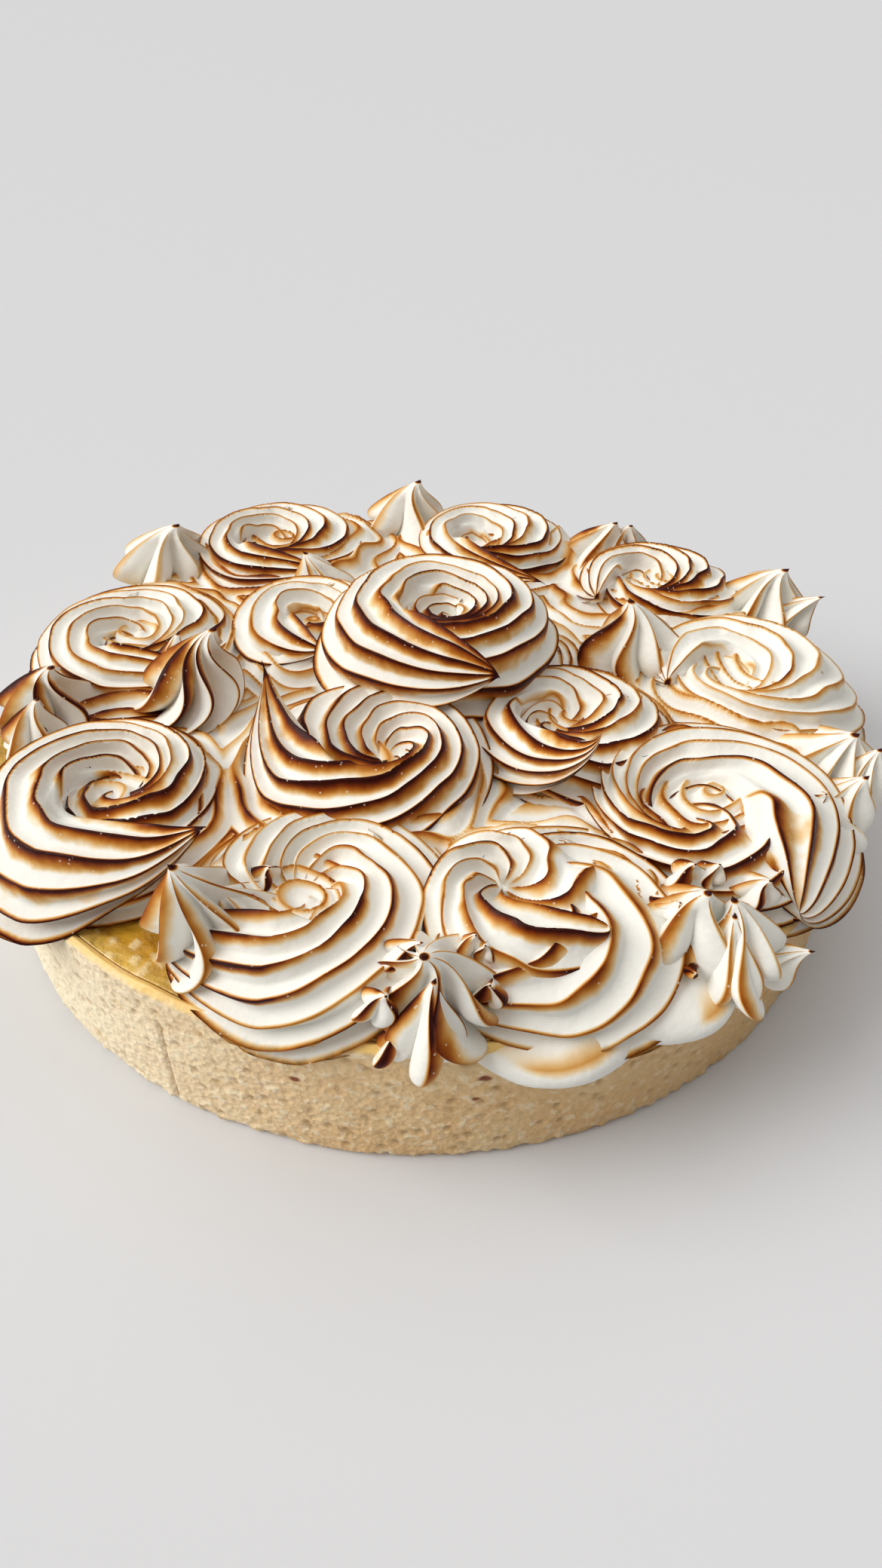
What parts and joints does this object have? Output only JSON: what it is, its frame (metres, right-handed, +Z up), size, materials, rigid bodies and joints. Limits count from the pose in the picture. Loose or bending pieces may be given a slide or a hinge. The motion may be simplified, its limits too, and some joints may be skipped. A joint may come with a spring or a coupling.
{
  "type": "lemon meringue pie",
  "caption": "Round straight-sided pie: shortcrust case filled level with lemon curd, topped with piped and torched meringue rosettes and kisses.",
  "frame": {"origin": "centre of the underside of the pastry case", "axes": "+Z up, +X to the right and -Y towards the front of the pie, where a kiss hangs over the rim"},
  "size_m": [0.2622, 0.2621, 0.0807],
  "materials": {
    "pastry": "matt crumbly baked shortcrust",
    "curd": "glossy set lemon curd",
    "meringue": "satin whipped meringue with torched brown ridges"
  },
  "bodies": {
    "root": {"crust": "pastry", "lemon_curd": "curd", "meringue_bed": "meringue", "kiss_left": "meringue", "kiss_inner_left": "meringue", "kiss_back_left": "meringue", "kiss_back": "meringue", "kiss_inner_back": "meringue", "kiss_back_right": "meringue", "kiss_right_back": "meringue", "kiss_inner_right": "meringue", "kiss_right": "meringue", "kiss_right_low": "meringue", "kiss_front_left": "meringue", "kiss_front": "meringue", "kiss_front_low": "meringue", "kiss_front_right": "meringue", "rosette_crown": "meringue", "rosette_front_middle": "meringue", "rosette_left_front": "meringue", "rosette_front_right": "meringue", "rosette_right_front": "meringue", "rosette_front_left": "meringue", "rosette_right": "meringue", "rosette_inner_right": "meringue", "rosette_left_back": "meringue", "rosette_inner_left": "meringue", "rosette_back_right": "meringue", "rosette_back_middle": "meringue", "rosette_back_left": "meringue"}
  },
  "joints": []
}
